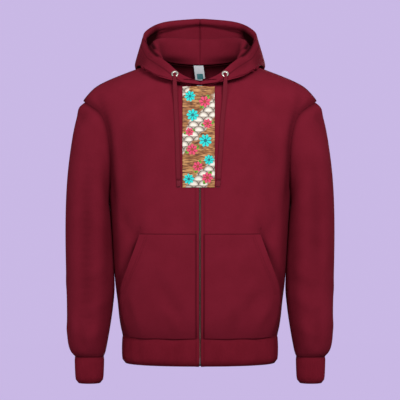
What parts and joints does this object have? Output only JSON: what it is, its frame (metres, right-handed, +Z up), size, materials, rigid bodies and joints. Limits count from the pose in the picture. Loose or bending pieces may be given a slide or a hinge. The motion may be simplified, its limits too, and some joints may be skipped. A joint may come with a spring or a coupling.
{
  "type": "zip up hoodie",
  "caption": "Zip-front hooded sweatshirt, filled out as if worn, with the hood lying back, slant pockets, ribbed cuffs and hem, drawcords and a printed chest panel.",
  "frame": {"origin": "middle of the neck at the height where the shoulder seams start, where the wearer's shoulders carry the garment", "axes": "+Z up, -Y the garment's front with the zip, +X the wearer's left"},
  "size_m": [0.6214, 0.3236, 0.855],
  "materials": {
    "burgundy_fleece": "matt brushed-back sweatshirt jersey, wine red",
    "burgundy_rib": "fine matt rib knit, wine red",
    "zip_tape": "woven tape, dark wine red",
    "zip_metal": "dull grey zip metal",
    "printed_cloth": "flat printed panel, many colours",
    "nickel": "bright nickel",
    "burgundy_cord": "flat braided cord, wine red",
    "clear_tip": "clear film sleeve",
    "label_white": "satin woven label"
  },
  "bodies": {
    "root": {"front_left": "burgundy_fleece", "front_right": "burgundy_fleece", "back_left": "burgundy_fleece", "back_right": "burgundy_fleece", "sleeve_left_front": "burgundy_fleece", "sleeve_left_rear": "burgundy_fleece", "sleeve_right_front": "burgundy_fleece", "sleeve_right_rear": "burgundy_fleece", "hood_left": "burgundy_fleece", "hood_right": "burgundy_fleece", "pocket_left": "burgundy_fleece", "pocket_right": "burgundy_fleece", "hem_rib": "burgundy_rib", "cuff_left": "burgundy_rib", "cuff_right": "burgundy_rib", "zip_tape": "zip_tape", "zip_chain": "zip_metal", "zip_slider": "zip_metal", "zip_pull": "zip_metal", "chest_panel": "printed_cloth", "eyelet_left": "nickel", "eyelet_right": "nickel", "drawcord_left": "burgundy_cord", "drawcord_right": "burgundy_cord", "cord_tip_left": "clear_tip", "cord_tip_right": "clear_tip", "neck_label": "label_white", "care_label": "label_white"}
  },
  "joints": []
}
